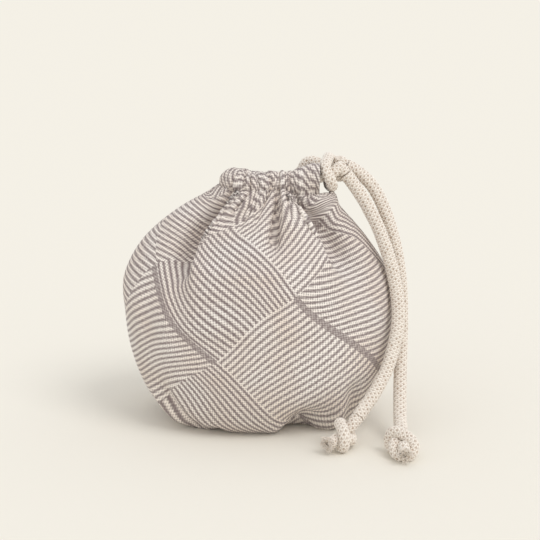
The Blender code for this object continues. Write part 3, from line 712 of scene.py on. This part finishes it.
def squeezed_radii(line, middle, squeeze, reach):
    """The cord's radius along a line, pressed thinner within reach of a knot's middle."""
    far = np.linalg.norm(line - middle, axis=1)
    return CORD_DIAMETER / 2 * (squeeze + (1 - squeeze) * smooth((far - reach) / CORD_DIAMETER))


def frames_along(line):
    """Two directions square to the line at each of its points, that turn as little as they can."""
    ahead = np.gradient(line, axis=0)
    ahead /= np.linalg.norm(ahead, axis=1)[:, None]
    side = np.cross(ahead[0], (0.31, 0.2, 0.93))
    sides = []
    for direction in ahead:
        side = unit(side - direction * (side @ direction))
        sides.append(side)
    sides = np.array(sides)
    return ahead, sides, np.cross(ahead, sides)


def knit_height(around, along):
    """How far the knitted surface stands up, from 0 in a hole to 1 on a stitch's leg."""
    wale = np.round(around)
    place = along + 0.5 * (wale % 2)
    a, f = around - wale, place - np.round(place)
    uneven = np.sin(12.9 * (wale % WALES) + 78.2 * np.round(place)) * 43.7 % 1
    hole = np.exp(-(a / 0.34) ** 2 - (f / (0.14 + 0.14 * uneven)) ** 2)
    leg = 0.5 + 0.5 * np.cos(2 * math.pi * (2 * along + 1.2 * abs(a) + 0.3 * uneven))
    return (0.4 + 0.6 * leg) * (1 - (0.6 + 0.4 * uneven) * hole)


def knitted(name, line, radii, material):
    """A knitted cord along line: a tube with every stitch standing in its surface."""
    length = arc_of(line)[-1]
    rings = round(length / STITCH * RINGS_A_STITCH)
    step = length / rings
    arc = arc_of(line)
    at = np.linspace(0, length, rings + 1)
    fine = np.stack([np.interp(at, arc, line[:, k]) for k in range(3)], axis=1)
    for _ in range(round(KNIT_EASE / step) + 1):
        fine[1:-1] += 0.5 * (0.5 * (fine[:-2] + fine[2:]) - fine[1:-1])
    radius = np.interp(at, np.linspace(0, length, len(radii)), radii)
    _, across, up = frames_along(fine)
    sides = WALES * SIDES_A_WALE
    around = np.arange(sides + 1) / SIDES_A_WALE
    angle = 2 * math.pi * np.arange(sides + 1) / sides
    height = knit_height(around[None, :] % WALES, (at / STITCH)[:, None])
    reach = radius[:, None] - KNIT_DEPTH * (1 - height)
    cos, sin = np.cos(angle)[None, :, None], np.sin(angle)[None, :, None]
    places = fine[:, None] + reach[..., None] * (cos * across[:, None] + sin * up[:, None])
    flat = np.stack([np.broadcast_to(angle * CORD_DIAMETER / 2, height.shape),
                     np.broadcast_to(at[:, None], height.shape)], axis=-1)
    piece = bent_grid(name, places, flat, True)
    mesh = bmesh.new()
    mesh.from_mesh(piece.data)
    bmesh.ops.remove_doubles(mesh, verts=mesh.verts[:], dist=SEAM_MERGE)
    ends = [edge for edge in mesh.edges if edge.is_boundary]
    caps = bmesh.ops.holes_fill(mesh, edges=ends, sides=0)["faces"]
    bmesh.ops.poke(mesh, faces=caps)
    mesh.to_mesh(piece.data)
    mesh.free()
    piece.data.shade_smooth()
    # The stitch height is kept on the mesh, where the yarn's material turns it into painted shade
    # between the stitches
    stitch = piece.data.attributes.new("stitch", "FLOAT", "POINT")
    stitch.data.foreach_set("value", heights_of(piece.data))
    piece.data.materials.append(material)
    return piece


def fray(piece, end, ahead):
    """Curly yarn ends that stand out of the cut end of a cord, added to its mesh."""
    chance = np.random.default_rng(7)
    side = unit(np.cross(ahead, (0.2, 0.1, 0.9)))
    other = np.cross(ahead, side)
    mesh = bmesh.new()
    mesh.from_mesh(piece.data)
    stitch = mesh.verts.layers.float["stitch"]
    for _ in range(FIBRES):
        turn = chance.uniform(0, 2 * math.pi)
        reach = FIBRE_SPREAD * math.sqrt(chance.uniform(0, 1))
        out = math.cos(turn) * side + math.sin(turn) * other
        curl = chance.uniform(0, 2 * math.pi)
        length = chance.uniform(FIBRE_SHORTEST, FIBRE_LONGEST) * MM
        along = np.linspace(-0.3, 1, 7)[:, None]
        bend = np.cos(curl + 5 * along) * side + np.sin(curl + 5 * along) * other
        line = end + reach * out + length * along * (ahead + 0.5 * out) + FIBRE_CURL * bend
        _, a, b = frames_along(line)
        rings = []
        for point, one, two in zip(line, a, b):
            ways = (one, two, -one, -two)
            rings.append([mesh.verts.new(point + FIBRE_RADIUS * way) for way in ways])
        for low, high in zip(rings, rings[1:]):
            for k in range(4):
                mesh.faces.new((low[k], low[k - 3], high[k - 3], high[k]))
        mesh.faces.new(rings[0][::-1])
        mesh.faces.new(rings[-1])
        # The fibres take the stitch value FIBRE_SHADE, so the yarn's painted shade tints them a
        # little tan
        for ring in rings:
            for vert in ring:
                vert[stitch] = FIBRE_SHADE
    mesh.to_mesh(piece.data)
    mesh.free()
    piece.data.shade_smooth()


def heights_of(data):
    """The stitch height at each point of a cord's mesh, found from its UV map."""
    uv = data.uv_layers["cloth"].data
    found = np.ones(len(data.vertices), np.float32)
    loops = np.empty(len(data.loops), np.int32)
    data.loops.foreach_get("vertex_index", loops)
    places = np.empty(len(data.loops) * 2, np.float32)
    uv.foreach_get("uv", places)
    places = places.reshape(-1, 2)
    around = places[:, 0] / (math.pi * CORD_DIAMETER / MM) * WALES
    found[loops] = knit_height(around % WALES, places[:, 1] * MM / STITCH)
    return found


# Materials

MATH = "ShaderNodeMath"


def node(tree, kind, inputs=(), out=0, **settings):
    """Adds a node with its settings, fills its inputs with values or links, and gives an output."""
    made = tree.nodes.new(kind)
    for key, value in settings.items():
        setattr(made, key, value)
    for k, source in inputs.items() if isinstance(inputs, dict) else enumerate(inputs):
        if isinstance(source, bpy.types.NodeSocket):
            tree.links.new(source, made.inputs[k])
        else:
            made.inputs[k].default_value = source
    return made.outputs[out]


def new_material(name, roughness, sheen):
    material = bpy.data.materials.new(name)
    material.use_nodes = True
    shader = material.node_tree.nodes["Principled BSDF"]
    shader.inputs["Roughness"].default_value = roughness
    shader.inputs["Specular IOR Level"].default_value = 0.25
    shader.inputs["Sheen Weight"].default_value = sheen
    shader.inputs["Sheen Roughness"].default_value = 0.6
    return material, material.node_tree, shader


# The stripes lie in square blocks, a chequer of lines rising left and rising right. These
# blocks leave the chequer: their place in it, and their stripes' turn in steps of 45 degrees.
BLOCK_TURNS = (
    (0, -1, 1), (0, 2, 0.15), (-1, 1, 0.6), (-1, 2, -0.1), (1, 0, 0.15), (1, -1, 0.15),
    (2, 0, -1), (2, -1, -1),
)
BLOCK_MM = 47.0
BLOCK_CORNER_MM = (15.7, 30.7)
STRIPE_MM = 47 / 19
BAND_MM = 3.0

# A thread of this cloth is about 0.5 mm. It is drawn at twice that, so that it still shows.
THREAD_MM = 1.0


def woven_stripes():
    """Two-colour jacquard cotton: matt, with cream ribs of stitches on speckled mauve grey."""
    material, tree, shader = new_material("woven_cotton", 0.92, 0.1)
    flat = node(tree, "ShaderNodeUVMap", uv_map="cloth")
    corner = node(tree, "ShaderNodeVectorMath", (flat, (*BLOCK_CORNER_MM, 0)), operation="SUBTRACT")
    x = node(tree, "ShaderNodeSeparateXYZ", (corner,))
    y = node(tree, "ShaderNodeSeparateXYZ", (corner,), out=1)

    # Which block a point is in: p counts blocks up to the right, q counts them up to the left
    diagonal = math.sqrt(0.5) / BLOCK_MM
    p = node(tree, MATH, (x, y), operation="ADD")
    p = node(tree, MATH, (p, diagonal), operation="MULTIPLY")
    q = node(tree, MATH, (y, x), operation="SUBTRACT")
    q = node(tree, MATH, (q, diagonal), operation="MULTIPLY")
    i = node(tree, MATH, (p,), operation="FLOOR")
    j = node(tree, MATH, (q,), operation="FLOOR")
    odd = node(tree, MATH, (i, j), operation="ADD")
    odd = node(tree, MATH, (odd, 2.0), operation="FLOORED_MODULO")
    turn = node(tree, MATH, (odd, -2.0, 1.0), operation="MULTIPLY_ADD")
    for block_i, block_j, block_turn in BLOCK_TURNS:
        here = node(tree, MATH, (
            node(tree, MATH, (i, float(block_i), 0.1), operation="COMPARE"),
            node(tree, MATH, (j, float(block_j), 0.1), operation="COMPARE"),
        ), operation="MULTIPLY")
        change = node(tree, MATH, (float(block_turn), turn), operation="SUBTRACT")
        turn = node(tree, MATH, (here, change, turn), operation="MULTIPLY_ADD")
    angle = node(tree, MATH, (turn, math.pi / 4), operation="MULTIPLY")
    back = node(tree, MATH, (angle, -1.0), operation="MULTIPLY")
    turned = node(tree, "ShaderNodeVectorRotate", {0: corner, 3: back}, rotation_type="Z_AXIS")
    across = node(tree, "ShaderNodeSeparateXYZ", (turned,), out=1)

    # Yarn is never even: a soft noise thickens and thins the ribs and lifts single stitches
    uneven = node(tree, "ShaderNodeTexNoise", {0: corner, 2: 0.9, 3: 2.0}, noise_dimensions="2D")
    slub = node(tree, "ShaderNodeTexNoise", {0: corner, 2: 0.05, 3: 1.0}, noise_dimensions="2D")

    # Light stitches on a grid, small in the grey and large enough to run together in the ribs
    grid_x = node(tree, MATH, (x, 2 * math.pi / THREAD_MM), operation="MULTIPLY")
    grid_x = node(tree, MATH, (grid_x,), operation="COSINE")
    grid_y = node(tree, MATH, (y, 2 * math.pi / THREAD_MM), operation="MULTIPLY")
    grid_y = node(tree, MATH, (grid_y,), operation="COSINE")
    grid = node(tree, MATH, (grid_x, grid_y), operation="ADD")
    wave = node(tree, MATH, (across, 2 * math.pi / STRIPE_MM, 0.6), operation="MULTIPLY_ADD")
    wave = node(tree, MATH, (wave,), operation="COSINE")
    level = node(tree, MATH, (wave, 0.55, 0.46), operation="MULTIPLY_ADD")
    level = node(tree, MATH, (turn, 0.05, level), operation="MULTIPLY_ADD")

    # A plain band closes the blocks of right-rising ribs at their upper end
    end = node(tree, MATH, (p,), operation="FRACT")
    band = node(tree, MATH, (end, 1 - BAND_MM / BLOCK_MM), operation="GREATER_THAN")
    even = node(tree, MATH, (turn, 0.3), operation="GREATER_THAN")
    ribbed = node(tree, MATH, (band, even), operation="MULTIPLY")
    ribbed = node(tree, MATH, (ribbed, -0.85, 1.0), operation="MULTIPLY_ADD")
    level = node(tree, MATH, (level, ribbed), operation="MULTIPLY")

    strength = node(tree, MATH, (grid, 0.24, 0.95), operation="MULTIPLY_ADD")
    light = node(tree, MATH, (level, strength), operation="MULTIPLY")
    light = node(tree, MATH, (grid, 0.11, light), operation="MULTIPLY_ADD")
    light = node(tree, MATH, (uneven, 0.9, light), operation="MULTIPLY_ADD")
    light = node(tree, "ShaderNodeMapRange", {0: light, 1: 0.33, 2: 1.5})

    yarn = node(tree, "ShaderNodeMix", {0: slub, 6: linear("#FFFBF6"), 7: linear("#F3E4D6")},
                out=2, data_type="RGBA")
    colour = node(tree, "ShaderNodeMix", {0: light, 6: linear("#887B7A"), 7: yarn},
                  out=2, data_type="RGBA")
    tree.links.new(colour, shader.inputs["Base Color"])
    bump = node(tree, "ShaderNodeBump", {0: 0.6, 1: 0.00014, "Height": light})
    tree.links.new(bump, shader.inputs["Normal"])
    return material


def knitted_cotton():
    """Undyed knitted cotton yarn: cream, matt and soft, with painted shade that turns it tan in the
    holes and valleys between its stitches.
    """
    material, tree, shader = new_material("knitted_cotton", 0.95, 0.2)
    stitch = node(tree, "ShaderNodeAttribute", out=2, attribute_name="stitch")
    # Painted shade: the lower the stitch height, the nearer the cream comes to the tan shade colour
    shade = node(tree, "ShaderNodeMapRange", {0: stitch, 1: 0.02, 2: 0.8})
    colour = node(tree, "ShaderNodeMix", {0: shade, 6: linear("#A1866F"), 7: linear("#FFF8EE")},
                  out=2, data_type="RGBA")
    tree.links.new(colour, shader.inputs["Base Color"])
    return material


def plain(name, colour):
    material, _, shader = new_material(name, 1, 0)
    shader.inputs["Specular IOR Level"].default_value = 0
    shader.inputs["Base Color"].default_value = linear(colour)
    return material


# Floor, light and camera

def set_stage():
    paper = plain("backdrop_paper", "#F1EDE3")
    mesh = bmesh.new()
    bmesh.ops.create_grid(mesh, x_segments=1, y_segments=1, size=12)
    data = bpy.data.meshes.new("backdrop")
    mesh.to_mesh(data)
    mesh.free()
    floor = bpy.data.objects.new("backdrop", data)
    bpy.context.scene.collection.objects.link(floor)
    data.materials.append(paper)


def set_light_and_camera():
    scene = bpy.context.scene
    world = bpy.data.worlds.new("soft_studio")
    scene.world = world
    world.use_nodes = True
    background = world.node_tree.nodes["Background"]
    background.inputs[0].default_value = linear("#FFFFFF")
    seen = node(world.node_tree, "ShaderNodeBackground", (linear("#F4F0E6"), 1.0))
    is_seen = node(world.node_tree, "ShaderNodeLightPath")
    mixed = node(world.node_tree, "ShaderNodeMixShader", (is_seen, background.outputs[0], seen))
    world.node_tree.links.new(mixed, world.node_tree.nodes["World Output"].inputs[0])
    background.inputs[1].default_value = 0.82
    lamp = bpy.data.lights.new("window_light", "SUN")
    lamp.energy = 0.86
    lamp.angle = math.radians(30)
    lamp.color = (1, 0.99, 0.98)
    window = bpy.data.objects.new("window_light", lamp)
    scene.collection.objects.link(window)
    window.rotation_euler = (math.radians(38), 0, math.radians(48))
    camera = bpy.data.cameras.new("camera")
    camera.lens = 85
    camera.sensor_width = 36
    elevation, far = math.radians(14), 0.562
    made = bpy.data.objects.new("camera", camera)
    scene.collection.objects.link(made)
    made.location = (4.84 * MM, -far * math.cos(elevation), 65.5 * MM + far * math.sin(elevation))
    made.rotation_euler = (math.pi / 2 - elevation, 0, 0)
    camera.clip_start = 0.01
    scene.camera = made
    scene.view_settings.view_transform = "Standard"


def main():
    cloth = woven_stripes()
    yarn = knitted_cotton()
    for name, side, cad in (("front_cloth", -1, "front_panel"), ("back_cloth", 1, "back_panel")):
        panel = make_panel(name, side)
        panel.data.materials.append(cloth)
        wall = panel.modifiers.new("thickness", "SOLIDIFY")
        wall.thickness = CLOTH
        wall.offset = -1
        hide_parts(cad)
        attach(panel, "pouch")

    front_strand, back_strand = mouth_knot()
    gone = front_strand[:, 0] - FRONT_EXIT_X
    lift = smooth((gone - LIFT_STARTS) / LIFT_RISE) * smooth((LIFT_ENDS - gone) / LIFT_FALL)
    front_strand[:, 2] += EXIT_LIFT * lift
    for cad, line in (("front_strand", front_strand), ("back_strand", back_strand)):
        radii = squeezed_radii(line, KNOT_MIDDLE, KNOT_SQUEEZE, KNOT_REACH)
        piece = knitted(cad + "_knit", line, radii, yarn)
        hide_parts(cad)
        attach(piece, "drawstring")

    for name, route in (("upper", UPPER_TAIL), ("lower", LOWER_TAIL)):
        tail = smooth_line(route, TAIL_STEP)
        line, middle = stopper_knot(smooth_line(route, ROUTE_STEP))
        radii = squeezed_radii(line, middle, STOPPER_SQUEEZE, STOPPER_REACH)
        knot = knitted(name + "_knot_knit", line, radii, yarn)
        fray(knot, line[-1], unit(line[-1] - line[-3]))
        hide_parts(name + "_stopper_knot")
        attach(knot, "drawstring")
        piece = knitted(name + "_tail_knit", tail, [CORD_DIAMETER / 2] * len(tail), yarn)
        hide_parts(name + "_tail")
        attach(piece, "drawstring")

    loop_front = [channel(-1, u)[:2] for u in np.linspace(1, 0, 60)]
    loop_back = [channel(1, u)[:2] for u in np.linspace(0, 1, 60)]
    front_end = FRONT_EXIT_X - HIDDEN_STRAND - END_GAP
    back_end = channel(1, BACK_EXIT_SHARE)[0] - HIDDEN_STRAND - END_GAP
    loop = [(front_end, loop_front[0][1])] + [p for p in loop_front if p[0] < front_end]
    loop += [p for p in loop_back if p[0] < back_end] + [(back_end, loop_back[-1][1])]
    loop = spaced([(float(x), float(y), HEM_HEIGHT) for x, y in loop], LOOP_STEP)
    piece = knitted("loop_knit", loop, [LOOP_RADIUS] * len(loop), yarn)
    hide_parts("drawstring_loop")
    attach(piece, "pouch")

    set_stage()
    set_light_and_camera()


main()
bpy.context.view_layer.update()
